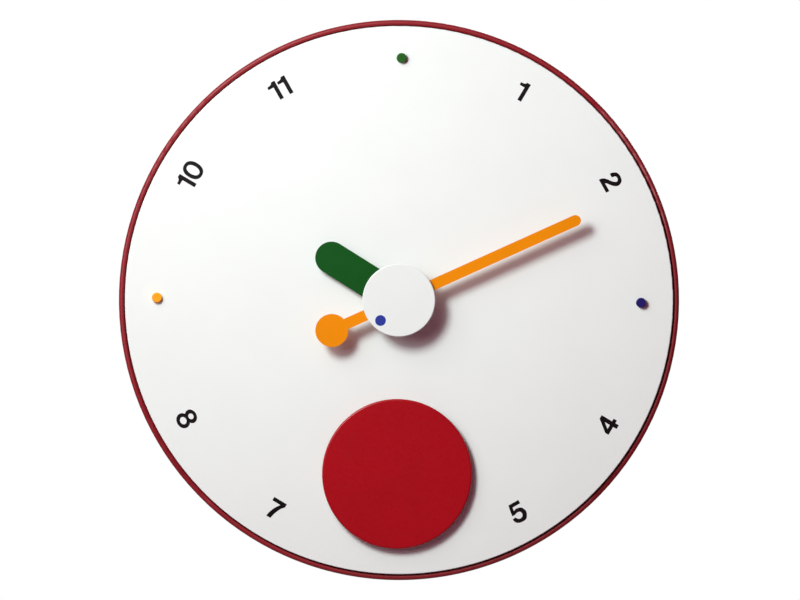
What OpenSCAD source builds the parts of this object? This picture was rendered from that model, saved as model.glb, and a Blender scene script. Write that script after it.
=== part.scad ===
// Round wall clock with a free-swinging pendulum disc and a battery quartz movement.
// Every piece is drawn lying on its back: x to the right, y up the dial, z from the wall to the viewer.
// placed() then stands it up, so the wall is the plane Y = 0, the dial faces -Y and twelve o'clock is at +Z.

/* [Case] */
// Outer diameter of the rear case's rim
case_d = 365; // [360:1:372]
// Outer diameter of the flat ring that rests on the wall
back_d = 299; // [297:1:300]
// Thickness of the moulded walls
wall_t = 2.5; // [2:0.1:2.8]
// Width of the window in the back, over the movement
window_w = 78; // [74:1:80]
// Height of the window in the back
window_h = 116; // [112:1:118]
// Height of the keyhole above the hands' axis
keyhole_y = 118; // [114:1:120]
// Radius of the keyhole's round entry
keyhole_r = 4.5; // [4:0.1:4.6]

/* [Dial] */
// Distance from the wall to the front of the dial
dial_front = 38.2; // [38:0.1:38.6]
// Thickness of the dial
dial_t = 2.5; // [2.3:0.1:2.5]
// How far the dial stands in front of the case's rim
dial_proud = 2; // [1.6:0.1:2.2]
// Distance of the hour studs from the hands' axis
stud_ring_r = 157.5; // [150:0.5:162]
// Diameter of an hour stud
stud_d = 6.5; // [5.5:0.1:8]
// Height of an hour stud above the dial
stud_h = 3; // [2:0.1:4]

/* [Hands] */
// Reach of the hour hand from the axis
hour_len = 62.3; // [50:0.1:62.9]
// Width of the hour hand
hour_w = 21.1; // [18:0.1:24]
// Direction of the hour hand at rest, clockwise from twelve
hour_angle = 301.5; // [0:0.1:359.9]
// Reach of the minute hand from the axis
minute_len = 129.2; // [110:0.1:140]
// Width of the minute hand
minute_w = 7.2; // [6:0.1:9]
// Direction of the minute hand at rest, clockwise from twelve
minute_angle = 65.1; // [0:0.1:359.9]
// Distance of the counterweight's centre behind the axis
weight_reach = 47.7; // [40:0.1:52]
// Diameter of the counterweight
weight_d = 21.4; // [18:0.1:24]
// Diameter of the seconds disc
seconds_d = 47.2; // [44:0.1:52]
// Distance of the seconds dot from the axis
dot_reach = 17.7; // [15:0.1:18.5]
// Diameter of the seconds dot
dot_d = 7; // [5:0.1:7]
// Direction of the seconds dot at rest, clockwise from twelve
seconds_angle = 221.5; // [0:0.1:359.9]

/* [Pendulum] */
// Diameter of the pendulum disc
bob_d = 97.5; // [90:0.5:98]
// Depth of the pendulum disc from front to back
bob_t = 4.1; // [4:0.1:4.4]
// Gap between the dial and the pendulum disc
bob_gap = 2.4; // [2.3:0.1:2.5]
// Drop from the hands' axis to the centre of the disc
bob_drop = 113; // [112:0.5:115]
// Height of the pendulum's pivot above the hands' axis
pivot_y = 40; // [39.5:0.1:40.5]
// Swing to each side in degrees
swing = 7; // [5:0.5:7.5]

/* [Movement] */
// Width of the movement's case
move_w = 60; // [60:0.1:62]
// Wall thickness of the movement's case
move_wall = 1.5; // [1.4:0.1:1.6]
// Diameter of the threaded bush
bush_d = 8; // [7.8:0.1:8.2]
// Play taken off each gear tooth
backlash = 0.1; // [0.08:0.01:0.12]

/* [Hidden] */
$fn = 96;
eps = 0.01;                       // overrun of a cutting shape
run_gap = 0.06;                   // radial play of a shaft that turns in a hole

// Case and dial
case_r = case_d / 2;
back_r = back_d / 2;
dial_back = dial_front - dial_t;
dial_r = case_r - 4.1;            // the rim shows as a ring outside the dial
dial_seat_r = dial_r + 0.4;       // inner side of the rim
gutter_w = 1.5;                   // groove between the rim and the dial's ledge
gutter_h = 1;
ledge_w = 3.8;
ledge_t = 2.2;
side_z = 15;                      // the case's side is straight from here to the rim
side_edge = 1.5;                  // bevel at the foot of the straight side
side_in = case_r - wall_t;        // inside of the straight side
spigot_t = 1.6;                   // lip of the pan inside the rim ring
spigot_h = 3;
rim_top = dial_front - dial_proud;
rim_round = (case_r - dial_seat_r) / 2;
rest_ring_w = 7.5;                // width of the ring on the wall
back_inset = 1.2;                 // the back's middle stands this far off the wall
floor_z = back_inset + wall_t;    // inner face of the case's back
lip_t = 2;
lip_h = 3.3;                      // height of the lip round the window
window_y = 4;                     // centre of the window above the axis
keyhole_slot_w = 4.4;
keyhole_slot_l = 8;
rib_t = 1.6;
rib_h = 4;
rib_r = 84;                       // inner end of the radial ribs, and the ring rib
rib_count = 12;
post_r = 132;                     // circle of the four case screws
post_angles = [45, 135, 225, 315];
post_od = 9;
boss_top = 14;                    // where the dial's posts meet the case's bosses
case_screw_r = 1.5;
case_head_r = 3;
case_head_h = 2.2;
case_head_z = 1.8;
bumper_r = 5;
bumper_spots = [[0, 96], [-110, -64], [110, -64]];
stud_peg_r = 1.5;

// Heights of the hands
hour_z = dial_front + 4.4;
hour_t = 1.6;
minute_z = dial_front + 12.4;
minute_t = 1;
disc_z = dial_front + 14.8;
disc_t = 1.6;
arbor_r = 0.64;
minute_tube_r = 1.64;
hour_tube_r = 2.5;
hour_collet_r = 3.5;
hour_flange_t = 0.8;
minute_collet_r = 2.6;
seconds_collet_r = 1.8;
seconds_collet_l = 1;             // length of the seconds disc's collet behind the disc
dot_depth = 0.5;

// Pendulum
bob_back = dial_front + bob_gap;
bob_front = bob_back + bob_t;
bob_skin = 2;
bob_edge = 1.2;                   // rounding of the disc's front edge
bob_rib_count = 6;
stem_r = 2;
stem_screw_r = 1.3;
slot_half_w = stem_r + 1.2;
slot_swing = swing + 1.2;
pendulum_r = bob_drop + pivot_y;
arm_w = 6;
arm_t = 1.2;
arm_z = 12.7;
hanger_z = arm_z + arm_t;
hanger_t = 2.9;
hook_y = 14;                      // where the arm hooks on the hanger
hook_r = 1.5;
magnet_y = 24;
magnet_r = 4;
pin_r = 1;
pin_back = 12.9;

// Movement case
move_back = 18.7;
move_split = 28;
move_front = dial_back - 0.5;     // the rubber washer fills the rest
move_floor = move_back + move_wall;
move_roof = move_front - move_wall;
move_low = -42;
move_high = 50;
move_corner = 4;
bush_r = bush_d / 2;
bush_flange_r = 6.5;
bush_flange_t = 1.3;
bush_top = 41.2;
thread_pitch = 0.75;
nut_af = 12;
nut_h = 2.2;
washer_t = 0.5;
knob_r = 5;
knob_h = 2.5;
knob_z = move_back - 0.3 - knob_h;
corner_posts = [[-25.5, 45.5], [25.5, 45.5], [-25.5, -37.5], [25.5, -37.5]];
corner_post_r = 2.5;
move_screw_r = 0.9;

// Battery bay, along y at the left
cell_r = 7.1;
cell_l = 49.5;
cell_x = -20.9;
cell_z = 26.4;
cell_low = -24.7;                 // flat end of the cell
cell_nub_r = 2.75;
cell_nub_l = 1;
bay_half_l = 27.5;
bay_wall_x = -13.4;               // partition between the cell and the wheels
bay_wall_t = 1.2;
bay_wall_top = 33.2;
leaf_t = 0.4;
leaf_w = 8;

// Wheels: [teeth, module]
addendum = 0.8;                   // tooth height outside and inside the pitch circle, in modules
dedendum = 1.05;
pressure = 20;
fine = 0.3;
rotor_pinion = [8, fine];
inter_wheel = [48, fine];
inter_pinion = [12, 0.34];
sec_wheel = [60, 0.34];
sec_pinion = [10, fine];
third_gear = [75, fine];
third_pinion = [10, 0.85 / 3];
minute_gear = [80, 0.85 / 3];
cannon_pinion = [15, fine];
motion_gear = [45, fine];
motion_pinion = [12, fine];
hour_gear = [48, fine];
knob_gear = [15, fine];

// Directions from one axis to the next, and the axes that follow from them
third_dir = -83;
inter_dir = 20;
rotor_dir = 60;
motion_dir = -20;
knob_dir = -45;
third_at = centre_gap(sec_pinion, third_gear) * toward(third_dir);
inter_at = centre_gap(inter_pinion, sec_wheel) * toward(inter_dir);
rotor_at = inter_at + centre_gap(rotor_pinion, inter_wheel) * toward(rotor_dir);
motion_at = centre_gap(cannon_pinion, motion_gear) * toward(motion_dir);
knob_at = motion_at + centre_gap(motion_gear, knob_gear) * toward(knob_dir);

// Phase of each wheel, so that teeth stand in gaps at rest
sec_pinion_phase = 0;
third_phase = mesh(sec_pinion_phase, sec_pinion, third_gear, third_dir);
third_pinion_phase = 0;
minute_phase = mesh(third_pinion_phase, third_pinion, minute_gear, third_dir + 180);
sec_phase = 0;
inter_pinion_phase = mesh(sec_phase, sec_wheel, inter_pinion, inter_dir);
inter_phase = 0;
rotor_phase = mesh(inter_phase, inter_wheel, rotor_pinion, rotor_dir);
cannon_phase = 0;
motion_phase = mesh(cannon_phase, cannon_pinion, motion_gear, motion_dir);
knob_phase = mesh(motion_phase, motion_gear, knob_gear, knob_dir);
motion_pinion_phase = 0;
hour_phase = mesh(motion_pinion_phase, motion_pinion, hour_gear, motion_dir + 180);

// Levels of the wheels
wheel_t = 0.8;
inter_z = 20.8;
inter_pinion_z = inter_z + wheel_t;
sec_z = 22.2;
third_z = 23.6;
minute_gear_z = 25.2;
plate_z = 27.2;
plate_t = 1;
cannon_z = 28.8;
motion_z = 29.2;
hour_gear_z = 30.8;
pivot_r = 0.4;
pivot_back = 19.3;
motion_post_r = 0.8;
knob_shaft_r = 1.5;
plate_posts = [[-9.5, 12], [16.5, -16.5], [7, 16]];
plate_post_r = 1.5;

// Motor
stator_z = 23.8;
stator_t = 1.2;
stator_ring_r = 4.8;
stator_hole_r = 2.7;
rotor_magnet_r = 2.2;
rotor_core_r = 0.9;
coil_x = 24.5;
coil_low = 16.5;
coil_high = 35.5;
coil_r = 3.2;
core_w = 2.4;
core_low = 11;
core_high = 40.5;
leg_w = 4;
leg_x = 15.2;                     // middle of the stator's long leg

// Circuit board and the pendulum's drive coil
board_x = [-11, 22.4];
board_y = [-40, -26];
board_z = 21.5;
board_t = 1.2;
drive_r = 7.6;
drive_core_r = 2.8;
drive_z = move_floor;
drive_h = 4;
drive_flange_t = 0.5;

function toward(a) = [cos(a), sin(a)];
function pitch_r(g) = g[0] * g[1] / 2;
function centre_gap(a, b) = pitch_r(a) + pitch_r(b);
function involute(a) = tan(a) * 180 / PI - a;
// Phase of gear b in mesh with gear a, where b lies in the direction dir from a
function mesh(phase_a, a, b, dir) = dir + 180 - ((phase_a - dir) * a[0] + 180) / b[0];
// Half the angle that a tooth takes up at radius r
function half_tooth(g, r) =
  let (rp = pitch_r(g), rb = rp * cos(pressure))
  (PI * g[1] / 4 - backlash / 2) / rp * 180 / PI + involute(pressure) - involute(acos(min(1, rb / r)));
function tooth_radii(g) =
  let (rp = pitch_r(g), rb = rp * cos(pressure), root = rp - dedendum * g[1], tip = rp + addendum * g[1])
  root < rb - 0.02 ? [root, rb, rp, tip] : [root, rp, tip];
function gear_outline(g, phase) =
  let (radii = tooth_radii(g), n = len(radii))
  [for (i = [0:g[0] - 1], side = [-1, 1], k = [0:n - 1])
    let (r = radii[side < 0 ? k : n - 1 - k], a = phase + i * 360 / g[0] + side * half_tooth(g, r))
    r * toward(a)];

module placed() { rotate([90, 0, 0]) children(); }

// Turns a piece drawn pointing at twelve to its clock direction
module at_clock(angle) { rotate([0, 0, -angle]) children(); }

module disc(r, z0, z1) { translate([0, 0, z0]) cylinder(r = r, h = z1 - z0); }

module block(x, y, z) { translate([x[0], y[0], z[0]]) cube([x[1] - x[0], y[1] - y[0], z[1] - z[0]]); }

// Disc with a rounded front edge
module soft_disc(r, z0, z1, edge) {
  translate([0, 0, z0]) rotate_extrude() {
    square([r - edge, z1 - z0]);
    square([r, z1 - z0 - edge]);
    translate([r - edge, z1 - z0 - edge]) intersection() { circle(r = edge); square(edge); }
  }
}

module gear(g, phase, z0, z1) {
  translate([0, 0, z0]) linear_extrude(z1 - z0) polygon(gear_outline(g, phase));
}

// Strip with round ends between two heights on the y axis
module strip(w, y0, y1, z0, z1) {
  block([-w / 2, w / 2], [y0, y1], [z0, z1]);
  translate([0, y0, 0]) disc(w / 2, z0, z1);
  translate([0, y1, 0]) disc(w / 2, z0, z1);
}

module rounded_block(x, y, z, r) {
  block([x[0] + r, x[1] - r], y, z);
  block(x, [y[0] + r, y[1] - r], z);
  for (cx = [x[0] + r, x[1] - r], cy = [y[0] + r, y[1] - r]) translate([cx, cy, 0]) disc(r, z[0], z[1]);
}

// Cross recess cut into the back of a screw's head
module cross_recess(z, size, depth) {
  for (a = [0, 90]) rotate([0, 0, a])
    block([-size, size], [-size / 4, size / 4], [z - eps, z + depth]);
}

// ---------- case ----------

module case_shell() {
  slope_in = back_r + side_edge;
  spigot_in = side_in - spigot_t;
  rise = side_z - 2 * side_edge;
  run = case_r - back_r - 2 * side_edge;
  up = wall_t * sqrt(1 + pow(rise / run, 2));    // the slope's wall, measured upward
  rotate_extrude($fn = 180) polygon([
    [0, back_inset], [back_r - rest_ring_w, back_inset], [back_r - rest_ring_w, 0], [back_r, 0],
    [slope_in, side_edge], [case_r - side_edge, side_z - side_edge], [case_r, side_z], [side_in, side_z],
    [side_in, side_z + spigot_h], [spigot_in, side_z + spigot_h],
    [spigot_in, side_edge + up + (spigot_in - slope_in) * rise / run],
    [slope_in + (floor_z - side_edge - up) * run / rise, floor_z], [0, floor_z]
  ]);
}

module keyhole_cut() {
  translate([0, keyhole_y, 0]) {
    disc(keyhole_r, -eps, floor_z + 2);
    block([-keyhole_slot_w / 2, keyhole_slot_w / 2], [0, keyhole_slot_l], [-eps, floor_z + 2]);
    translate([0, keyhole_slot_l, 0]) disc(keyhole_slot_w / 2, -eps, floor_z + 2);
  }
}

module window_block(grow, z0, z1) {
  rounded_block([-window_w / 2 - grow, window_w / 2 + grow],
    [window_y - window_h / 2 - grow, window_y + window_h / 2 + grow], [z0, z1], 8 + grow);
}

module rear_case() {
  color("#a81c2a") placed() difference() {
    union() {
      case_shell();
      window_block(lip_t, back_inset, floor_z + lip_h);
      for (i = [0:rib_count - 1]) rotate([0, 0, (i + 0.5) * 360 / rib_count])
        block([rib_r, back_r + 7.5], [-rib_t / 2, rib_t / 2], [floor_z - eps, floor_z + rib_h]);
      difference() {
        disc(rib_r + rib_t, floor_z - eps, floor_z + rib_h);
        disc(rib_r, floor_z - 1, floor_z + rib_h + 1);
      }
      translate([0, keyhole_y + keyhole_slot_l / 3, 0]) disc(12, back_inset, floor_z + 1);
      for (a = post_angles) rotate([0, 0, a]) translate([post_r, 0, 0]) disc(post_od / 2 + 0.8, back_inset, boss_top);
    }
    window_block(0, -1, floor_z + lip_h + 1);
    keyhole_cut();
    for (a = post_angles) rotate([0, 0, a]) translate([post_r, 0, 0]) {
      disc(case_head_r + 0.4, -1, case_head_z + case_head_h);
      disc(case_screw_r + 0.2, -1, boss_top + 1);
    }
  }
}

// Straight side of the case: it slips over the pan's spigot, and the dial's screws clamp it
module rim_ring() {
  rim_z = rim_top - rim_round;
  ledge_out = dial_seat_r - gutter_w;
  ledge_in = ledge_out - ledge_w;
  color("#a81c2a") placed() rotate_extrude($fn = 180) {
    polygon([
      [side_in, side_z], [case_r, side_z], [case_r, rim_z], [dial_seat_r, rim_z], [dial_seat_r, rim_z - gutter_h],
      [ledge_out, rim_z - gutter_h], [ledge_out, dial_back], [ledge_in, dial_back],
      [ledge_in, dial_back - ledge_t], [side_in, dial_back - ledge_t - (side_in - ledge_in)]
    ]);
    translate([case_r - rim_round, rim_z]) circle(r = rim_round, $fn = 48);
  }
}

// Arc-shaped slot that the pendulum's stem swings in
module swing_slot() {
  reach = pendulum_r + 10;
  end = slot_swing + asin(slot_half_w / pendulum_r);
  translate([0, pivot_y, 0]) intersection() {
    difference() {
      disc(pendulum_r + slot_half_w, dial_back - 1, dial_front + 1);
      disc(pendulum_r - slot_half_w, dial_back - 2, dial_front + 2);
    }
    translate([0, 0, dial_back - 3]) linear_extrude(dial_t + 6)
      polygon([[0, 0], reach * toward(-90 - end), reach * [0, -1.02], reach * toward(-90 + end)]);
  }
}

module dial() {
  color("#f4f3f0") placed() difference() {
    union() {
      soft_disc(dial_r, dial_back, dial_front, 0.5, $fn = 180);
      for (a = post_angles) rotate([0, 0, a]) translate([post_r, 0, 0]) disc(post_od / 2, boss_top, dial_back + eps);
    }
    disc(bush_r + 0.15, dial_back - 1, dial_front + 1);
    swing_slot();
    for (a = [0, 90, 180]) rotate([0, 0, a]) translate([stud_ring_r, 0, 0])
      disc(stud_peg_r, dial_back - 1, dial_front + 1);
    for (a = post_angles) rotate([0, 0, a]) translate([post_r, 0, 0]) disc(case_screw_r, boss_top - 1, boss_top + 12);
  }
}

module case_screws() {
  color("silver") placed() for (a = post_angles) rotate([0, 0, a]) translate([post_r, 0, 0]) difference() {
    union() {
      disc(case_head_r, case_head_z, case_head_z + case_head_h);
      disc(case_screw_r, case_head_z + case_head_h, boss_top + 11);
    }
    cross_recess(case_head_z, 1.7, 1.1);
  }
}

module wall_bumpers() {
  color("#303030") placed() for (p = bumper_spots) translate([p[0], p[1], 0]) disc(bumper_r, 0, back_inset);
}

module stud(clock_hour) {
  at_clock(clock_hour * 30) translate([0, stud_ring_r, 0]) {
    soft_disc(stud_d / 2, dial_front, dial_front + stud_h, 0.5);
    disc(stud_peg_r, dial_back, dial_front + eps);
  }
}

module stud_12() { color("#2d7a33") placed() stud(12); }

module stud_3() { color("#2b2a86") placed() stud(3); }

module stud_9() { color("#f39a17") placed() stud(9); }

// ---------- hands ----------

module hour_hand() {
  color("#17642b") placed() at_clock(hour_angle) difference() {
    strip(hour_w, 0, hour_len - hour_w / 2, hour_z, hour_z + hour_t);
    disc(hour_collet_r, hour_z - 1, hour_z + hour_t + 1);
  }
}

module hour_collet() {
  color("#c9a64a") placed() difference() {
    union() {
      disc(hour_collet_r, hour_z, hour_z + hour_t);
      disc(hour_collet_r + 1.5, hour_z - hour_flange_t, hour_z);
    }
    disc(hour_tube_r, hour_z - 2, hour_z + hour_t + 1);
  }
}

module minute_hand() {
  color("#f29314") placed() at_clock(minute_angle) difference() {
    union() {
      strip(minute_w, -weight_reach, minute_len - minute_w / 2, minute_z, minute_z + minute_t);
      translate([0, -weight_reach, 0]) disc(weight_d / 2, minute_z, minute_z + minute_t);
      disc(8, minute_z, minute_z + minute_t);
    }
    disc(minute_collet_r, minute_z - 1, minute_z + minute_t + 1);
  }
}

module minute_collet() {
  color("#c9a64a") placed() difference() {
    union() {
      disc(minute_collet_r, minute_z, minute_z + minute_t);
      disc(minute_collet_r + 1.6, minute_z - 0.9, minute_z);
    }
    disc(minute_tube_r, minute_z - 2, minute_z + minute_t + 1);
  }
}

module seconds_disc() {
  color("#f4f3f0") placed() difference() {
    soft_disc(seconds_d / 2, disc_z, disc_z + disc_t, 0.6);
    disc(seconds_collet_r, disc_z - 1, disc_z + 1);
    at_clock(seconds_angle) translate([0, dot_reach, 0])
      disc(dot_d / 2, disc_z + disc_t - dot_depth, disc_z + disc_t + 1);
  }
}

module seconds_dot() {
  color("#2c3f9c") placed() at_clock(seconds_angle) translate([0, dot_reach, 0])
    disc(dot_d / 2, disc_z + disc_t - dot_depth, disc_z + disc_t);
}

module seconds_collet() {
  color("#c9a64a") placed() difference() {
    disc(seconds_collet_r, disc_z - seconds_collet_l, disc_z + 1);
    disc(arbor_r, disc_z - 3, disc_z + 0.8);
  }
}

// ---------- pendulum ----------

module pendulum_bob() {
  boss_r = 4.5;
  color("#a8131e") placed() translate([0, -bob_drop, 0]) difference() {
    union() {
      difference() {
        soft_disc(bob_d / 2, bob_back, bob_front, bob_edge, $fn = 144);
        disc(bob_d / 2 - bob_skin, bob_back - 1, bob_front - bob_skin);
      }
      disc(boss_r, bob_back + 0.3, bob_front - bob_skin + eps);
      for (i = [0:bob_rib_count - 1]) rotate([0, 0, (i + 0.5) * 360 / bob_rib_count])
        block([boss_r - 0.5, bob_d / 2 - 1], [-0.6, 0.6], [bob_back + 0.5, bob_front - bob_skin + eps]);
    }
    disc(stem_r, bob_back - 1, bob_front - bob_skin - 0.2);
  }
}

module pendulum_stem() {
  color("#b8bcc0") placed() translate([0, -bob_drop, 0]) difference() {
    union() {
      disc(stem_r, hanger_z, bob_front - bob_skin - 0.2);
      disc(stem_r + 2, hanger_z, hanger_z + 1.5);
    }
    disc(stem_screw_r, hanger_z - 1, hanger_z + 7);
  }
}

module stem_screw() {
  head_h = 1.4;
  color("silver") placed() translate([0, -bob_drop, 0]) difference() {
    union() {
      disc(stem_screw_r + 1.1, arm_z - head_h, arm_z);
      disc(stem_screw_r, arm_z, hanger_z + 6.5);
    }
    cross_recess(arm_z - head_h, 1.4, 0.8);
  }
}

module pendulum_arm() {
  color("#b8bcc0") placed() difference() {
    strip(arm_w, -bob_drop, hook_y, arm_z, hanger_z);
    translate([0, hook_y, 0]) disc(hook_r, arm_z - 1, hanger_z + 1);
    translate([0, -bob_drop, 0]) disc(stem_screw_r, arm_z - 1, hanger_z + 1);
  }
}

module pendulum_hanger() {
  top = hanger_z + hanger_t;
  color("#2e2e2e") placed() difference() {
    union() {
      strip(7, hook_y, pivot_y, hanger_z, top);
      translate([0, pivot_y, 0]) disc(4.2, hanger_z, top);
      translate([0, magnet_y, 0]) disc(magnet_r + 1.6, hanger_z, top);
      translate([0, hook_y, 0]) {
        disc(hook_r, arm_z, hanger_z + eps);
        disc(hook_r + 0.9, arm_z - 0.8, arm_z);
      }
    }
    translate([0, pivot_y, 0]) disc(pin_r + run_gap, hanger_z - 1, top + 1);
    translate([0, magnet_y, 0]) disc(magnet_r, hanger_z + 0.4, top + 1);
  }
}

module pendulum_magnet() {
  color("#8c9094") placed() translate([0, magnet_y, 0]) disc(magnet_r, hanger_z + 0.4, hanger_z + hanger_t);
}

module pivot_pin() {
  color("#b8bcc0") placed() translate([0, pivot_y, 0]) disc(pin_r, pin_back, move_floor + 1.8);
}

module pivot_clip() {
  color("#8c9094") placed() translate([0, pivot_y, 0]) difference() {
    disc(2.6, pin_back + 0.3, hanger_z - 0.2);
    disc(pin_r, pin_back - 1, hanger_z + 1);
    block([-0.5, 0.5], [0, 4], [pin_back - 1, hanger_z]);
  }
}

// ---------- movement case ----------

module move_block(inset, z0, z1) {
  rounded_block([-move_w / 2 + inset, move_w / 2 - inset], [move_low + inset, move_high - inset], [z0, z1],
    move_corner - inset);
}

module movement_front_case() {
  color("#26282b") placed() difference() {
    union() {
      difference() {
        move_block(0, move_split, move_front);
        move_block(move_wall, move_split - 1, move_roof);
      }
      for (p = corner_posts) translate([p[0], p[1], 0]) disc(corner_post_r, move_split, move_roof + eps);
      for (p = plate_posts) translate([p[0], p[1], 0]) disc(plate_post_r, plate_z + plate_t, move_roof + eps);
    }
    disc(bush_r, move_roof - 1, move_front + 1);
    for (p = corner_posts) translate([p[0], p[1], 0]) disc(move_screw_r, move_split - 1, move_split + 4);
  }
}

module movement_rear_case() {
  bay_x = [-move_w / 2 + move_wall, bay_wall_x + bay_wall_t];
  color("#26282b") placed() difference() {
    union() {
      difference() {
        move_block(0, move_back, move_split);
        move_block(move_wall, move_floor, move_split + 1);
      }
      block([bay_wall_x, bay_wall_x + bay_wall_t], [-bay_half_l, bay_half_l], [move_floor - eps, bay_wall_top]);
      for (s = [-1, 1]) block(bay_x, [s * bay_half_l - 0.6, s * bay_half_l + 0.6], [move_floor - eps, bay_wall_top]);
      for (p = corner_posts) translate([p[0], p[1], 0]) disc(corner_post_r, move_floor - eps, move_split);
      for (p = plate_posts) translate([p[0], p[1], 0]) disc(plate_post_r, move_floor - eps, plate_z);
      for (p = [[leg_x, 30], [coil_x - 5, core_high - leg_w / 2]]) translate([p[0], p[1], 0])
        disc(1.4, move_floor - eps, stator_z);
      for (x = [board_x[0] + 3, board_x[1] - 3]) translate([x, (board_y[0] + board_y[1]) / 2, 0])
        disc(1.6, move_floor - eps, board_z);
      translate([0, pivot_y, 0]) disc(4, move_back - 1.7, move_back + eps);
      translate([0, pivot_y, 0]) disc(3, move_floor - eps, move_floor + 2);
    }
    block([bay_x[0] + 0.2, bay_wall_x - 0.1], [-bay_half_l + 2, bay_half_l - 2], [move_back - 1, move_floor + 1]);
    translate([0, pivot_y, 0]) disc(pin_r, move_back - 2, move_floor + 1.8);
    for (p = corner_posts) translate([p[0], p[1], 0]) disc(move_screw_r + 0.1, move_back - 1, move_split + 1);
    for (p = [[0, 0], third_at, inter_at, rotor_at]) translate([p[0], p[1], 0])
      disc(pivot_r + run_gap, pivot_back - 0.1, move_floor + 1);
    translate([knob_at[0], knob_at[1], 0]) disc(knob_shaft_r + run_gap, move_back - 1, move_floor + 1);
  }
}

module movement_screws() {
  head_h = 1.2;
  color("silver") placed() for (p = corner_posts) translate([p[0], p[1], 0]) difference() {
    union() {
      disc(move_screw_r + 1, move_back - head_h, move_back);
      disc(move_screw_r, move_back, move_split + 3.5);
    }
    cross_recess(move_back - head_h, 1.1, 0.7);
  }
}

module threaded_bush() {
  turns = floor((bush_top - dial_front - 1) / thread_pitch);
  color("#c9a64a") placed() difference() {
    union() {
      disc(bush_flange_r, move_roof - bush_flange_t, move_roof);
      disc(bush_r, move_roof - eps, bush_top);
    }
    disc(hour_tube_r + run_gap, move_roof - bush_flange_t - 1, bush_top + 1);
    for (i = [0:turns - 1]) translate([0, 0, bush_top - 0.6 - i * thread_pitch]) rotate_extrude()
      polygon([[bush_r - 0.35, 0], [bush_r + 0.1, -thread_pitch / 2], [bush_r + 0.1, thread_pitch / 2]]);
  }
}

module hex_nut() {
  z0 = dial_front + washer_t;
  color("#c9a64a") placed() difference() {
    translate([0, 0, z0]) cylinder(r = nut_af / sqrt(3), h = nut_h, $fn = 6);
    disc(bush_r, z0 - 1, z0 + nut_h + 1);
  }
}

module dial_washer() {
  color("#c9a64a") placed() difference() {
    disc(7.6, dial_front, dial_front + washer_t);
    disc(bush_r + 0.1, dial_front - 1, dial_front + washer_t + 1);
  }
}

module rubber_washer() {
  color("#303030") placed() difference() {
    disc(11, move_front, dial_back);
    disc(bush_r + 0.1, move_front - 1, dial_back + 1);
  }
}

module gear_plate() {
  color("#d8d2c0") placed() {
    difference() {
      translate([0, 0, plate_z]) linear_extrude(plate_t)
        polygon([[-11.5, 14.5], [9.5, 18.5], [19, 15], [19.5, -19.5], [-3, -19.5], [-11.5, -8]]);
      disc(minute_tube_r + run_gap, plate_z - 1, plate_z + plate_t + 1);
      for (p = [third_at, inter_at, rotor_at]) translate([p[0], p[1], 0])
        disc(pivot_r + run_gap, plate_z - 1, plate_z + plate_t + 1);
      translate([knob_at[0], knob_at[1], 0]) disc(knob_shaft_r + run_gap, plate_z - 1, plate_z + plate_t + 1);
    }
    translate([motion_at[0], motion_at[1], 0]) disc(motion_post_r, plate_z + plate_t / 2, 32.6);
  }
}

// ---------- electrics ----------

module circuit_board() {
  color("#2c6b3c") placed() block(board_x, board_y, [board_z, board_z + board_t]);
}

module quartz_crystal() {
  can_r = 1;
  color("#b8bcc0") placed() translate([14, -30, board_z + board_t + can_r]) rotate([0, 90, 0])
    cylinder(r = can_r, h = 6, $fn = 32);
}

module clock_chip() {
  color("#1c1c1c") placed() translate([0, (board_y[0] + board_y[1]) / 2, 0])
    soft_disc(4, board_z + board_t, board_z + board_t + 1.4, 0.9);
}

module motor_bobbin() {
  mid_z = stator_z + stator_t + stator_t / 2;
  color("#e8e4da") placed() difference() {
    union() {
      for (y = [coil_low, coil_high - 1]) translate([coil_x, y, mid_z]) rotate([-90, 0, 0])
        cylinder(r = coil_r + 0.3, h = 1);
      block([coil_x - core_w / 2 - 0.5, coil_x + core_w / 2 + 0.5], [coil_low, coil_high],
        [mid_z - stator_t / 2 - 0.5, mid_z + stator_t / 2 + 0.5]);
    }
    block([coil_x - core_w / 2, coil_x + core_w / 2], [coil_low - 1, coil_high + 1],
      [mid_z - stator_t / 2, mid_z + stator_t / 2]);
  }
}

module motor_winding() {
  mid_z = stator_z + stator_t + stator_t / 2;
  color("#b4622e") placed() difference() {
    translate([coil_x, coil_low + 1, mid_z]) rotate([-90, 0, 0]) cylinder(r = coil_r, h = coil_high - coil_low - 2);
    block([coil_x - core_w / 2 - 0.5, coil_x + core_w / 2 + 0.5], [coil_low, coil_high],
      [mid_z - stator_t / 2 - 0.5, mid_z + stator_t / 2 + 0.5]);
  }
}

module motor_core() {
  color("#8c9094") placed() block([coil_x - core_w / 2, coil_x + core_w / 2], [core_low, core_high],
    [stator_z + stator_t, stator_z + 2 * stator_t]);
}

module motor_stator() {
  z = [stator_z, stator_z + stator_t];
  leg = [leg_x - leg_w / 2, leg_x + leg_w / 2];
  end_x = coil_x + core_w / 2;
  color("#9a9ea2") placed() difference() {
    union() {
      translate([rotor_at[0], rotor_at[1], 0]) disc(stator_ring_r, z[0], z[1]);
      block(leg, [rotor_at[1], core_high], z);
      block([leg_x, end_x], [core_high - leg_w, core_high], z);
      block([rotor_at[0], end_x], [core_low, core_low + leg_w], z);
    }
    translate([rotor_at[0], rotor_at[1], 0]) disc(stator_hole_r, z[0] - 1, z[1] + 1);
  }
}

module drive_spool() {
  color("#e8e4da") placed() translate([0, magnet_y, 0]) {
    disc(drive_r + 0.6, drive_z, drive_z + drive_flange_t);
    disc(drive_core_r, drive_z, drive_z + drive_h);
    disc(drive_r + 0.6, drive_z + drive_h - drive_flange_t, drive_z + drive_h);
  }
}

module drive_winding() {
  color("#b4622e") placed() translate([0, magnet_y, 0]) difference() {
    disc(drive_r, drive_z + drive_flange_t, drive_z + drive_h - drive_flange_t);
    disc(drive_core_r, drive_z, drive_z + drive_h);
  }
}

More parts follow.
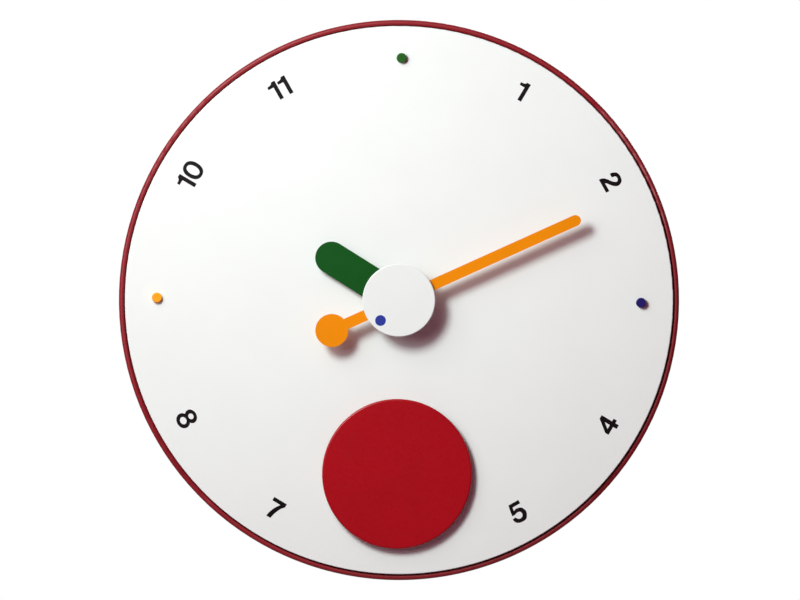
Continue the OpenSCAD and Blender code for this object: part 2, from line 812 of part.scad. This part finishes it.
module battery() {
  color("#3f4347") placed() translate([cell_x, cell_low, cell_z]) rotate([-90, 0, 0]) {
    cylinder(r = cell_r, h = cell_l);
    translate([0, 0, cell_l - eps]) cylinder(r = cell_nub_r, h = cell_nub_l + eps);
  }
}

module battery_contact_plus() {
  y0 = cell_low + cell_l + cell_nub_l;
  color("#c9a64a") placed() translate([cell_x, 0, 0])
    block([-leaf_w / 2, leaf_w / 2], [y0, y0 + leaf_t], [cell_z - 5, cell_z + 5]);
}

// Leaf bent to a shallow V that presses on the flat end of the cell
module battery_contact_minus() {
  y0 = -bay_half_l + 0.6;
  y1 = cell_low;
  color("#c9a64a") placed() translate([cell_x - leaf_w / 2, 0, 0]) rotate([90, 0, 90]) linear_extrude(leaf_w)
    polygon([[y0, cell_z - 5], [y0 + leaf_t, cell_z - 5], [y1, cell_z], [y0 + leaf_t, cell_z + 5],
      [y0, cell_z + 5], [y1 - 0.45, cell_z]]);
}

// ---------- wheels ----------

module rotor() {
  color("#e8e4da") placed() translate([rotor_at[0], rotor_at[1], 0]) {
    disc(pivot_r, pivot_back, plate_z + plate_t - 0.1);
    gear(rotor_pinion, rotor_phase, inter_z - 0.3, inter_z + wheel_t + 0.2);
    disc(rotor_core_r, inter_z + wheel_t + 0.2, stator_z + stator_t + 1);
  }
}

module rotor_magnet() {
  color("#55595d") placed() translate([rotor_at[0], rotor_at[1], 0]) difference() {
    disc(rotor_magnet_r, stator_z - 0.3, stator_z + stator_t + 0.3);
    disc(rotor_core_r, stator_z - 1, stator_z + stator_t + 1);
  }
}

module intermediate_wheel() {
  color("#e8e4da") placed() translate([inter_at[0], inter_at[1], 0]) {
    disc(pivot_r, pivot_back, plate_z + plate_t - 0.1);
    gear(inter_wheel, inter_phase, inter_z, inter_z + wheel_t);
    gear(inter_pinion, inter_pinion_phase, inter_pinion_z, sec_z + wheel_t + 0.4);
  }
}

module seconds_wheel() {
  color("#b8bcc0") placed() {
    disc(pivot_r, pivot_back, sec_z);
    disc(arbor_r, sec_z - 0.9, disc_z + 0.8);
    gear(sec_wheel, sec_phase, sec_z, sec_z + wheel_t);
    gear(sec_pinion, sec_pinion_phase, sec_z + wheel_t, minute_gear_z - 0.2);
  }
}

module third_wheel() {
  color("#e8e4da") placed() translate([third_at[0], third_at[1], 0]) {
    disc(pivot_r, pivot_back, plate_z + plate_t - 0.1);
    gear(third_gear, third_phase, third_z, third_z + wheel_t);
    gear(third_pinion, third_pinion_phase, third_z + wheel_t, minute_gear_z + wheel_t + 0.6);
  }
}

module minute_wheel() {
  color("#d8b14c") placed() difference() {
    union() {
      gear(minute_gear, minute_phase, minute_gear_z, minute_gear_z + wheel_t);
      disc(minute_tube_r, minute_gear_z, minute_z + minute_t);
      gear(cannon_pinion, cannon_phase, cannon_z, hour_gear_z - 0.2);
    }
    disc(arbor_r + run_gap, minute_gear_z - 1, minute_z + minute_t + 1);
  }
}

module motion_wheel() {
  color("#e8e4da") placed() translate([motion_at[0], motion_at[1], 0]) difference() {
    union() {
      gear(motion_gear, motion_phase, motion_z, motion_z + wheel_t);
      gear(motion_pinion, motion_pinion_phase, motion_z + wheel_t, hour_gear_z + wheel_t + 0.6);
    }
    disc(motion_post_r + run_gap, motion_z - 1, hour_gear_z + wheel_t + 1);
  }
}

module hour_wheel() {
  color("#e8e4da") placed() difference() {
    union() {
      gear(hour_gear, hour_phase, hour_gear_z, hour_gear_z + wheel_t);
      disc(hour_tube_r, hour_gear_z, hour_z + hour_t);
    }
    disc(minute_tube_r + run_gap, hour_gear_z - 1, hour_z + hour_t + 1);
  }
}

module setting_knob() {
  flutes = 20;
  color("#3a3d40") placed() translate([knob_at[0], knob_at[1], 0]) {
    difference() {
      disc(knob_r, knob_z, knob_z + knob_h);
      for (i = [0:flutes - 1]) rotate([0, 0, i * 360 / flutes]) translate([knob_r + 0.15, 0, 0])
        cylinder(r = 0.45, h = 100, center = true, $fn = 16);
    }
    disc(knob_shaft_r, knob_z, motion_z);
    gear(knob_gear, knob_phase, motion_z - 0.2, motion_z + wheel_t + 0.2);
  }
}

rear_case();
rim_ring();
dial();
case_screws();
wall_bumpers();
stud_12();
stud_3();
stud_9();
hour_hand();
hour_collet();
minute_hand();
minute_collet();
seconds_disc();
seconds_dot();
seconds_collet();
pendulum_bob();
pendulum_stem();
stem_screw();
pendulum_arm();
pendulum_hanger();
pendulum_magnet();
pivot_pin();
pivot_clip();
movement_front_case();
movement_rear_case();
movement_screws();
threaded_bush();
hex_nut();
dial_washer();
rubber_washer();
gear_plate();
circuit_board();
quartz_crystal();
clock_chip();
motor_bobbin();
motor_winding();
motor_core();
motor_stator();
rotor();
rotor_magnet();
intermediate_wheel();
seconds_wheel();
third_wheel();
minute_wheel();
motion_wheel();
hour_wheel();
setting_knob();
drive_spool();
drive_winding();
battery();
battery_contact_plus();
battery_contact_minus();
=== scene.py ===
"""Looks for the pendulum wall clock, on top of the CAD frame.

Procedural finishes for every CAD node, printed numerals on the dial, floor, lights and camera.
"""
import math

import bpy
from mathutils import Matrix, Vector


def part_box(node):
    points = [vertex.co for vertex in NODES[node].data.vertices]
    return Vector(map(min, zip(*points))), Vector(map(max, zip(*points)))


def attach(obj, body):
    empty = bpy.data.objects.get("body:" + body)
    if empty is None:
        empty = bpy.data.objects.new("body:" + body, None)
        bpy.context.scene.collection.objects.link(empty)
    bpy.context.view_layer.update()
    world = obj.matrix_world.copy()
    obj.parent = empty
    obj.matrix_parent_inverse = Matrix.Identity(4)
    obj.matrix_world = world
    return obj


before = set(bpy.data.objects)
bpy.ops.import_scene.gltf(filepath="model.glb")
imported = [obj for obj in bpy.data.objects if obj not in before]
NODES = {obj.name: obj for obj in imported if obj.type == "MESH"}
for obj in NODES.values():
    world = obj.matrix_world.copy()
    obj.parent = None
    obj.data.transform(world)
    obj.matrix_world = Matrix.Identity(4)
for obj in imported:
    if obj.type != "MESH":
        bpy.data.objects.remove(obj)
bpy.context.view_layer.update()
MM = 0.001


# ---------- small helpers ----------

def srgb(red, green, blue):
    """Linear colour of an 8-bit display colour."""
    def linear(value):
        value /= 255
        return value / 12.92 if value <= 0.04045 else ((value + 0.055) / 1.055) ** 2.4
    return (linear(red), linear(green), linear(blue), 1)


def shade(colour, factor):
    """The colour made lighter or darker."""
    return tuple(min(1, c * factor) for c in colour[:3]) + (1,)


# A wave texture at scale 1 runs through this many radians for each metre
WAVE_RATE = 20
# The colour sockets of a Mix node, beside those for numbers and vectors
MIX_A, MIX_B, MIX_RESULT = 6, 7, 2


class Graph:
    """Node tree of one material, with one Principled shader."""

    def __init__(self, name):
        self.material = bpy.data.materials.new(name)
        self.material.use_nodes = True
        self.tree = self.material.node_tree
        self.tree.nodes.clear()
        self.out = self.add("ShaderNodeOutputMaterial")
        self.shader = self.add("ShaderNodeBsdfPrincipled")
        self.link(self.shader.outputs["BSDF"], self.out.inputs["Surface"])
        self.place = self.add("ShaderNodeTexCoord").outputs["Object"]

    def add(self, kind, **settings):
        node = self.tree.nodes.new(kind)
        for key, value in settings.items():
            setattr(node, key, value)
        return node

    def link(self, source, target):
        self.tree.links.new(source, target)

    def stretched(self, scale):
        """The object's coordinates, scaled along each axis."""
        node = self.add("ShaderNodeMapping")
        node.inputs["Scale"].default_value = scale
        self.link(self.place, node.inputs["Vector"])
        return node.outputs["Vector"]

    def along(self, axis):
        """The object's coordinate on one axis, in metres."""
        node = self.add("ShaderNodeSeparateXYZ")
        self.link(self.place, node.inputs["Vector"])
        return node.outputs[axis]

    def noise(self, scale, detail=4, rough=0.55, vector=None):
        """Cloudy noise pattern, from 0 to 1."""
        node = self.add("ShaderNodeTexNoise")
        node.inputs["Scale"].default_value = scale
        node.inputs["Detail"].default_value = detail
        node.inputs["Roughness"].default_value = rough
        self.link(vector or self.place, node.inputs["Vector"])
        return node.outputs["Fac"]

    def cells(self, scale):
        """Distance from the nearest of many scattered points."""
        node = self.add("ShaderNodeTexVoronoi")
        node.inputs["Scale"].default_value = scale
        self.link(self.place, node.inputs["Vector"])
        return node.outputs["Distance"]

    def wave(self, kind, direction, period, distortion):
        """Even bands along an axis, or rings round it, a given distance apart."""
        node = self.add("ShaderNodeTexWave", wave_type=kind)
        if kind == "BANDS":
            node.bands_direction = direction
        else:
            node.rings_direction = direction
        node.inputs["Scale"].default_value = 2 * math.pi / (WAVE_RATE * period)
        node.inputs["Distortion"].default_value = distortion
        self.link(self.place, node.inputs["Vector"])
        return node.outputs["Fac"]

    def spread(self, source, low, high, to_low, to_high):
        """Maps a value from one span to another, clamped."""
        node = self.add("ShaderNodeMapRange")
        for key, value in (("From Min", low), ("From Max", high),
                           ("To Min", to_low), ("To Max", to_high)):
            node.inputs[key].default_value = value
        self.link(source, node.inputs["Value"])
        return node.outputs["Result"]

    def maths(self, operation, a, b):
        node = self.add("ShaderNodeMath", operation=operation)
        for socket, value in zip(node.inputs, (a, b)):
            if isinstance(value, (int, float)):
                socket.default_value = value
            else:
                self.link(value, socket)
        return node.outputs["Value"]

    def mix(self, factor, a, b):
        node = self.add("ShaderNodeMix", data_type="RGBA")
        self.link(factor, node.inputs["Factor"])
        for socket, value in ((node.inputs[MIX_A], a), (node.inputs[MIX_B], b)):
            if isinstance(value, tuple):
                socket.default_value = value
            else:
                self.link(value, socket)
        return node.outputs[MIX_RESULT]

    def clouded(self, colours, scale, detail, rough, low, high):
        """Two colours that run into each other in soft clouds."""
        return self.mix(self.spread(self.noise(scale, detail, rough), low, high, 0, 1), *colours)

    def roughness(self, pattern, least, most):
        """Roughness that follows a noise pattern between two values."""
        self.set("Roughness", self.spread(pattern, 0.3, 0.7, least, most))

    def set(self, key, value):
        socket = self.shader.inputs[key]
        if hasattr(value, "is_linked"):
            self.link(value, socket)
        else:
            socket.default_value = value

    def bump(self, height, strength, distance):
        node = self.add("ShaderNodeBump")
        node.inputs["Strength"].default_value = strength
        node.inputs["Distance"].default_value = distance
        self.link(height, node.inputs["Height"])
        self.link(node.outputs["Normal"], self.shader.inputs["Normal"])


def moulded(name, colour, rough, grain=0.5, vary=0.06, level=0.5, grain_scale=2600):
    """Moulded plastic: faint flow clouds in the colour and a fine eroded tool texture."""
    g = Graph(name)
    pair = shade(colour, 1 - vary), shade(colour, 1 + vary)
    g.set("Base Color", g.clouded(pair, 22, 3, 0.5, 0.35, 0.65))
    g.roughness(g.noise(160, 4), rough - 0.05, rough + 0.06)
    g.set("Specular IOR Level", level)
    g.bump(g.noise(grain_scale, 3, 0.6), grain, 0.04 * MM)
    return g


def painted(name, colour, rough, peel=0.25, vary=0.03, level=0.4, primed_from=None):
    """Sprayed satin lacquer: orange peel, and a trace of settled dust in the roughness.

    Grey primer shows from the depth primed_from on: the back of a part that is sprayed from the front.
    """
    g = Graph(name)
    pair = shade(colour, 1 - vary), shade(colour, 1 + vary)
    coat = g.clouded(pair, 30, 2, 0.5, 0.35, 0.65)
    if primed_from is not None:
        coat = g.mix(g.maths("GREATER_THAN", g.along("Y"), primed_from), coat, PRIMER)
    g.set("Base Color", coat)
    g.roughness(g.noise(420, 5, 0.65), rough - 0.04, rough + 0.05)
    g.set("Specular IOR Level", level)
    g.bump(g.noise(1500, 2, 0.4), peel, 0.03 * MM)
    return g


def drawn(name, colour, rough, axis, fine=900):
    """Metal with fine drawing lines along one axis."""
    g = Graph(name)
    scale = [fine, fine, fine]
    scale["XYZ".index(axis)] = fine / LINE_STRETCH
    lines = g.noise(1, 3, 0.6, g.stretched(scale))
    pair = shade(colour, 1.12), shade(colour, 0.88)
    g.set("Base Color", g.clouded(pair, 90, 4, 0.6, 0.35, 0.7))
    g.set("Metallic", 1.0)
    g.roughness(lines, rough - 0.08, rough + 0.1)
    g.bump(lines, 0.35, 0.02 * MM)
    return g


def turned(name, colour, rough):
    """Metal turned on a lathe: rings round the clock's Y axis."""
    g = Graph(name)
    rings = g.wave("RINGS", "Y", RING_PERIOD, 0.6)
    stain = g.noise(140, 4, 0.6)
    g.set("Base Color", g.mix(g.spread(stain, 0.35, 0.7, 0, 1), shade(colour, 1.1), shade(colour, 0.9)))
    g.set("Metallic", 1.0)
    g.roughness(stain, rough - 0.06, rough + 0.08)
    g.bump(rings, 0.25, 0.02 * MM)
    return g


def wound(name, colour, axis):
    """Enamelled wire wound in a tight coil: even ridges along the coil's axis, with painted shade in the grooves
    between turns and a painted highlight on their crests.
    """
    g = Graph(name)
    ridges = g.wave("BANDS", axis, COIL_PERIOD, 0.4)
    # Painted shade and painted highlight: the colour is darker in the grooves between turns and lighter on the
    # crests
    g.set("Base Color", g.mix(ridges, shade(colour, 0.45), shade(colour, 1.15)))
    g.set("Metallic", 0.85)
    g.roughness(g.noise(300), 0.24, 0.4)
    g.bump(ridges, 0.9, COIL_DEPTH)
    return g


def board(name, colour, metal_colour):
    """Circuit board: solder mask over copper tracks, with bare pads."""
    g = Graph(name)
    track = g.spread(g.cells(230), 0.16, 0.2, 0, 1)
    pads = g.spread(g.cells(420), 0.1, 0.13, 0, 1)
    masked = g.mix(track, shade(colour, 1.6), colour)
    g.set("Base Color", g.mix(pads, metal_colour, masked))
    g.roughness(g.noise(500), 0.3, 0.42)
    g.bump(track, 0.5, 0.05 * MM)
    return g


def cell(name, low, high):
    """Printed sleeve of a plain battery: dark, copper-coloured towards the plus end, with bare steel ends."""
    g = Graph(name)
    height = g.along("Z")

    def above(part):
        return g.maths("GREATER_THAN", height, low + (high - low) * part)

    def below(part):
        return g.maths("LESS_THAN", height, low + (high - low) * part)

    band = above(0.72)
    bare = g.maths("MAXIMUM", above(0.965), below(0.012))
    stripe = g.maths("MULTIPLY", above(0.69), below(0.705))
    sleeve = g.mix(band, srgb(38, 40, 44), srgb(196, 118, 62))
    sleeve = g.mix(stripe, sleeve, srgb(205, 205, 200))
    scuff = g.spread(g.noise(260, 5, 0.7), 0.45, 0.75, 0, 0.5)
    printed_sleeve = g.mix(scuff, sleeve, srgb(120, 116, 110))
    g.set("Base Color", g.mix(bare, printed_sleeve, srgb(196, 196, 192)))
    g.set("Metallic", g.maths("MAXIMUM", bare, g.maths("MULTIPLY", band, 0.55)))
    g.roughness(g.noise(340, 4), 0.24, 0.4)
    g.bump(g.noise(900, 3), 0.12, 0.03 * MM)
    return g


# ---------- finishes for the CAD nodes ----------

PRIMER = srgb(170, 169, 171)
PRIMER_EDGE = 0.02 * MM           # how far the primer reaches round the back's edge
RING_PERIOD = 0.754 * MM          # turning marks
COIL_PERIOD = 1.382 * MM          # ridges of a winding
COIL_DEPTH = 0.0733 * MM          # height of those ridges
LINE_STRETCH = 40                 # length of a drawing line in its widths

battery_low, battery_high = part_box("battery")
disc_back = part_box("seconds_disc")[1].y

FINISHES = {
    "case_red": moulded("case_red", srgb(136, 22, 32), 0.46, grain=0.08, vary=0.05, level=0.35),
    "dial_white": painted("dial_white", srgb(231, 231, 230), 0.36, peel=0.2, vary=0.006, level=0.25),
    "stud_green": moulded("stud_green", srgb(32, 86, 24), 0.3, grain=0.15, vary=0.05, level=0.35),
    "stud_blue": moulded("stud_blue", srgb(34, 27, 100), 0.3, grain=0.15, vary=0.05, level=0.35),
    "stud_orange": moulded("stud_orange", srgb(244, 154, 10), 0.3, grain=0.15, vary=0.03, level=0.35),
    "hand_green": painted("hand_green", srgb(12, 75, 21), 0.36, vary=0.04, level=0.16),
    "hand_orange": painted("hand_orange", srgb(229, 131, 0), 0.36, vary=0.02, level=0.16),
    "disc_white": painted("disc_white", srgb(225, 225, 224), 0.36, peel=0.2, vary=0.006, level=0.25,
                          primed_from=disc_back - PRIMER_EDGE),
    "dot_blue": moulded("dot_blue", srgb(44, 56, 146), 0.34, grain=0.15, vary=0.04, level=0.2),
    "bob_red": painted("bob_red", srgb(163, 11, 23), 0.3, peel=0.12, vary=0.03, level=0.25),
    "movement_black": moulded("movement_black", srgb(34, 35, 38), 0.5, grain=0.9, vary=0.1, grain_scale=1700),
    "knob_grey": moulded("knob_grey", srgb(70, 72, 76), 0.42, grain=0.6, vary=0.1, grain_scale=1700),
    "rubber_black": moulded("rubber_black", srgb(30, 30, 31), 0.85, grain=0.8, vary=0.15, level=0.25),
    "gear_nylon": moulded("gear_nylon", srgb(222, 216, 200), 0.38, grain=0.3, vary=0.03),
    "chip_black": moulded("chip_black", srgb(24, 24, 26), 0.3, grain=0.5, vary=0.12),
    "screw_steel": turned("screw_steel", srgb(186, 188, 190), 0.34),
    "bright_steel": drawn("bright_steel", srgb(190, 192, 194), 0.3, "Z"),
    "brass": turned("brass", srgb(206, 168, 84), 0.26),
    "leaf_metal": drawn("leaf_metal", srgb(206, 196, 150), 0.28, "X"),
    "magnet_grey": drawn("magnet_grey", srgb(120, 123, 126), 0.46, "X", fine=500),
    "board_green": board("board_green", srgb(28, 92, 52), srgb(214, 178, 96)),
    "motor_copper": wound("motor_copper", srgb(188, 104, 54), "Z"),
    "drive_copper": wound("drive_copper", srgb(188, 104, 54), "Y"),
    "cell_sleeve": cell("cell_sleeve", battery_low.z, battery_high.z),
    "ink_black": painted("ink_black", srgb(22, 14, 18), 0.3, peel=0.4, vary=0.15, level=0.2),
}

# Nodes whose finish differs from that of their material slot
SPECIAL = {
    "setting_knob": "knob_grey",
    "motor_winding": "motor_copper",
    "drive_winding": "drive_copper",
    "battery": "cell_sleeve",
    "battery_contact_plus": "leaf_metal",
    "battery_contact_minus": "leaf_metal",
}

for node_name, node in NODES.items():
    finish_name = SPECIAL.get(node_name) or node.data.materials[0].name.split(".")[0]
    for slot in node.material_slots:
        slot.material = FINISHES[finish_name].material


# ---------- printed numerals ----------

# Outlines are drawn upright, in units of 1/100 of the numerals' height.

def arc(cx, cy, rx, ry, start, end, steps, power=2.0):
    """Points of an arc of a superellipse, with angles in degrees. A power of 2 gives a plain ellipse."""
    points = []
    for i in range(steps + 1):
        t = math.radians(start + (end - start) * i / steps)
        c, s = math.cos(t), math.sin(t)
        points.append((cx + rx * math.copysign(abs(c) ** (2 / power), c),
                       cy + ry * math.copysign(abs(s) ** (2 / power), s)))
    return points


def loop(cx, cy, rx, ry, steps=48, power=2.0):
    """Points of a whole superellipse."""
    return arc(cx, cy, rx, ry, 0, 360, steps, power)[:-1]


def curve(points, steps=6):
    """Smooth line through points (Catmull-Rom)."""
    out = []
    padded = [points[0], *points, points[-1]]
    for p0, p1, p2, p3 in zip(padded, padded[1:], padded[2:], padded[3:]):
        for i in range(steps):
            t = i / steps
            out.append(tuple(
                0.5 * (2 * b + (c - a) * t + (2 * a - 5 * b + 4 * c - d) * t ** 2
                       + (3 * b - a - 3 * c + d) * t ** 3)
                for a, b, c, d in zip(p0, p1, p2, p3)))
    out.append(points[-1])
    return out


def one(right):
    """Outline of a 1 whose stem's right edge is given."""
    stem, flag = right - 18.5, right - 48
    top = curve([(flag, 36), (right - 34, 37.5), (right - 24, 41.5), (stem, 50)], 5)
    return [(right, 50), (right, -50), (stem, -50), (stem, 23.5), (flag, 23.5), *top]


# Each numeral's offset from its place on the ring, then its outlines
GLYPHS = {
    "1": ((-5.2, -4.1), [one(24)]),
    "11": ((1.8, -4.4), [one(-8), one(50)]),
    "10": ((0.2, -1.1), [one(-17), loop(36.5, 1, 41, 53, 64, 2.25), loop(36.5, 1, 23.5, 38, 64, 2.15)]),
    "7": ((1, 2.9), [
        [(-36, 51), (37, 51), (37, 34.5),
         *curve([(37, 34.5), (20, 12), (10, -10), (3, -31), (-1, -51.5)], 6)[1:],
         *curve([(-23, -51.5), (-20, -32), (-12, -10), (-2, 10), (14, 33)], 6), (-36, 33)]]),
    "4": ((0.2, 2.1), [
        [(21, 50.5), (21, -12.5), (37, -12.5), (37, -29.5), (21, -29.5), (21, -50.5), (1, -50.5),
         (1, -29.5), (-47, -29.5), (-47, -12), (1.5, 50.5)],
        [(1, -12.5), (1, 24.5), (-27.5, -12.5)]]),
    "5": ((-2.9, 2), [
        [(33, 52.5), (-24.5, 52.5), (-34, -4), (-19, -4),
         *curve([(-10, 0), (0, 1), (13, -3), (18.5, -17), (13, -31), (0, -37), (-12, -35), (-20, -28),
                 (-24, -20)]),
         *curve([(-40, -22), (-36, -38), (-22, -50), (0, -54.5), (24, -49), (39.5, -17), (28, 10),
                 (6, 17.5), (-8, 15.5), (-17, 11)]),
         (-13, 35.5), (33, 35.5)]]),
    "8": ((-4.2, 5.2), [
        [*arc(0, 21.5, 36, 28.4, -49, 229, 40), *arc(0, -25.4, 39.6, 32.4, 128.4, 411.6, 44)],
        loop(0, 21.5, 17, 14.7), loop(0, -24.6, 21.3, 17.8)]),
    "2": ((4.8, 0.2), [
        [(-38, 13),
         *curve([(-37, 26), (-26, 45), (-4, 52), (22, 46), (34.5, 25), (28.5, 4), (11, -14), (-5, -26.5),
                 (-10, -36)], 8),
         (36, -36), (36, -52), (-39, -52),
         *curve([(-38.5, -40), (-28.5, -22.5), (-9, -6.5), (8, 8.5), (15.5, 22.5), (10, 33), (-3, 36.5),
                 (-15, 30), (-19.5, 13)], 8)]]),
}

DIAL_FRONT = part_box("dial")[0].y
PRINT_THICK = 0.08 * MM           # how far the print stands out of the dial
INK_SPREAD = 0.17 * MM            # how far the ink runs past each outline
NUMERAL_RING = 158.4 * MM
NUMERAL_HIGH = 12.45 * MM


def outline_mesh(name, offset, outlines):
    """Thin plate in the shape of filled outlines, upright in its own XY plane."""
    data = bpy.data.curves.new(name, "CURVE")
    data.dimensions = "2D"
    data.fill_mode = "BOTH"
    data.extrude = PRINT_THICK
    data.offset = INK_SPREAD
    unit = NUMERAL_HIGH / 100
    for outline in outlines:
        spline = data.splines.new("POLY")
        spline.points.add(len(outline) - 1)
        for point, (x, y) in zip(spline.points, outline):
            point.co = ((x + offset[0]) * unit, (y + offset[1]) * unit, 0, 1)
        spline.use_cyclic_u = True
    shape = bpy.data.objects.new(name, data)
    bpy.context.scene.collection.objects.link(shape)
    bpy.context.view_layer.update()
    mesh = bpy.data.meshes.new_from_object(shape.evaluated_get(bpy.context.evaluated_depsgraph_get()))
    bpy.data.objects.remove(shape)
    bpy.data.curves.remove(data)
    return mesh


def printed(text, offset, outlines):
    """Numeral on the dial's front. Its foot points to the centre in the upper half, and outwards in the lower."""
    hour_angle = math.radians(30 * int(text))
    lower_half = 3 < int(text) < 9
    mesh = outline_mesh("numeral_outline_" + text, offset, outlines)
    upright = Matrix.Rotation(math.radians(90), 4, "X")
    turn = Matrix.Rotation(hour_angle - (math.pi if lower_half else 0), 4, "Y")
    place = Vector((NUMERAL_RING * math.sin(hour_angle), DIAL_FRONT, NUMERAL_RING * math.cos(hour_angle)))
    mesh.transform(Matrix.Translation(place) @ turn @ upright)
    mesh.materials.clear()
    mesh.materials.append(FINISHES["ink_black"].material)
    piece = bpy.data.objects.new("numeral_" + text, mesh)
    bpy.context.scene.collection.objects.link(piece)
    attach(piece, "clock_body")


for numeral, (shift, shapes) in GLYPHS.items():
    printed(numeral, shift, shapes)


# ---------- light, floor and camera ----------

WHITE = (1, 1, 1)

DIAL_CENTRE = Vector((0, -0.0385, 0))
TO_LIGHT = Vector((-0.431, -0.792, 0.431)).normalized()
KEY_FAR = 0.9
KEY_PLACE = DIAL_CENTRE + TO_LIGHT * KEY_FAR
# The key faces far past the clock's lower right, so that its light falls off across the dial
KEY_AIM = (3.0, -0.04, -1.6)
BACK_PLACE, BACK_AIM = (0.5, 1.8, 0.7), (0, 0, 0)
# Colour, diameter in metres and power in watts of each light
KEY_COLOUR, KEY_SIZE, KEY_WATTS = (0.855, 1.0, 0.965), 0.31, 10.3
HALO_COLOUR, HALO_SIZE, HALO_WATTS = (0.97, 1.0, 0.97), 1, 6.1
BACK_COLOUR, BACK_SIZE, BACK_WATTS = WHITE, 1.2, 34
# The world's warm fill from all round, and what glossy surfaces mirror in front of and behind the clock
FILL_COLOUR = (1.0, 0.14, 0.35)
FILL = 0.135
MIRRORED_ROOM = 0.06
MIRRORED_BACKDROP = 0.5
BACKDROP_EDGE = -0.15, 0.35       # Y of the directions in which the room gives way to the backdrop


def area(name, place, target, size, watts, colour):
    """Round soft light."""
    data = bpy.data.lights.new(name, "AREA")
    data.shape = "DISK"
    data.size = size
    data.energy = watts
    data.color = colour
    lamp = bpy.data.objects.new(name, data)
    bpy.context.scene.collection.objects.link(lamp)
    lamp.location = place
    lamp.rotation_mode = "QUATERNION"
    lamp.rotation_quaternion = (Vector(target) - Vector(place)).to_track_quat("-Z", "Y")


area("key", KEY_PLACE, KEY_AIM, KEY_SIZE, KEY_WATTS, KEY_COLOUR)
area("key_halo", KEY_PLACE, KEY_AIM, HALO_SIZE, HALO_WATTS, HALO_COLOUR)
area("back_fill", BACK_PLACE, BACK_AIM, BACK_SIZE, BACK_WATTS, BACK_COLOUR)


def background(tree, colour, strength):
    """Even light of the world."""
    node = tree.nodes.new("ShaderNodeBackground")
    node.inputs["Color"].default_value = (*colour, 1)
    node.inputs["Strength"].default_value = strength
    return node.outputs[0]


def blend_by(tree, factor, a, b):
    """The first light where the factor is 0, and the second where it is 1."""
    node = tree.nodes.new("ShaderNodeMixShader")
    tree.links.new(factor, node.inputs["Fac"])
    tree.links.new(a, node.inputs[1])
    tree.links.new(b, node.inputs[2])
    return node.outputs[0]


def make_world():
    """A dim warm fill from all round, which the camera sees as white and glossy surfaces as a plain room."""
    world = bpy.data.worlds.new("studio")
    bpy.context.scene.world = world
    world.use_nodes = True
    tree = world.node_tree
    tree.nodes.clear()
    path = tree.nodes.new("ShaderNodeLightPath")
    split = tree.nodes.new("ShaderNodeSeparateXYZ")
    tree.links.new(tree.nodes.new("ShaderNodeTexCoord").outputs["Generated"], split.inputs["Vector"])
    behind = tree.nodes.new("ShaderNodeMapRange")
    behind.inputs["From Min"].default_value, behind.inputs["From Max"].default_value = BACKDROP_EDGE
    tree.links.new(split.outputs["Y"], behind.inputs["Value"])
    mirrored = blend_by(tree, behind.outputs["Result"], background(tree, FILL_COLOUR, MIRRORED_ROOM),
                        background(tree, WHITE, MIRRORED_BACKDROP))
    unseen = blend_by(tree, path.outputs["Is Glossy Ray"], background(tree, FILL_COLOUR, FILL), mirrored)
    seen = blend_by(tree, path.outputs["Is Camera Ray"], unseen, background(tree, WHITE, 1))
    tree.links.new(seen, tree.nodes.new("ShaderNodeOutputWorld").inputs["Surface"])


make_world()

FLOOR_Z = -1.3                    # the clock hangs this far above the floor
FLOOR_R = 1.2
FLOOR_RINGS, FLOOR_STEPS = 6, 96


def round_floor():
    """Pale round floor, built in rings so that it shades evenly."""
    points, faces = [(0, 0, FLOOR_Z)], []
    for ring in range(1, FLOOR_RINGS + 1):
        radius = FLOOR_R * ring / FLOOR_RINGS
        for i in range(FLOOR_STEPS):
            angle = 2 * math.pi * i / FLOOR_STEPS
            points.append((radius * math.cos(angle), radius * math.sin(angle), FLOOR_Z))
    for i in range(FLOOR_STEPS):
        j = (i + 1) % FLOOR_STEPS
        faces.append((0, 1 + i, 1 + j))
        for ring in range(FLOOR_RINGS - 1):
            inner, outer = 1 + ring * FLOOR_STEPS, 1 + (ring + 1) * FLOOR_STEPS
            faces.append((inner + i, outer + i, outer + j, inner + j))
    mesh = bpy.data.meshes.new("floor")
    mesh.from_pydata(points, [], faces)
    floor = bpy.data.objects.new("floor", mesh)
    bpy.context.scene.collection.objects.link(floor)
    finish = moulded("floor_pale", srgb(228, 240, 238), 0.7, grain=0.1, vary=0.01, level=0.2,
                     grain_scale=300)
    mesh.materials.append(finish.material)


round_floor()

AZIMUTH, ELEVATION, ROLL = (math.radians(angle) for angle in (0.2, 0.3, 0.62))
CAMERA_FAR = 4.0
CAMERA_CLIP = 0.1, 50
FRAME_WIDTH = 800                 # pixels
PIXEL = 0.6515 * MM               # what one pixel spans at the rim
SENSOR = 36                       # millimetres
RIM_DEPTH = -0.034
AIM = Vector((1.05 * PIXEL, RIM_DEPTH, 0.1 * PIXEL))


def place_camera():
    """Camera almost square to the dial, from far enough to show it nearly without perspective."""
    data = bpy.data.cameras.new("camera")
    camera = bpy.data.objects.new("camera", data)
    bpy.context.scene.collection.objects.link(camera)
    back = Vector((math.sin(AZIMUTH) * math.cos(ELEVATION), -math.cos(AZIMUTH) * math.cos(ELEVATION),
                   math.sin(ELEVATION)))
    camera.location = AIM + back * CAMERA_FAR
    turn = (-back).to_track_quat("-Z", "Y").to_matrix() @ Matrix.Rotation(ROLL, 3, "Z")
    camera.rotation_mode = "QUATERNION"
    camera.rotation_quaternion = turn.to_quaternion()
    data.sensor_width = SENSOR
    data.lens = SENSOR * CAMERA_FAR / (FRAME_WIDTH * PIXEL)
    data.clip_start, data.clip_end = CAMERA_CLIP
    bpy.context.scene.camera = camera


place_camera()
bpy.context.scene.view_settings.view_transform = "Standard"
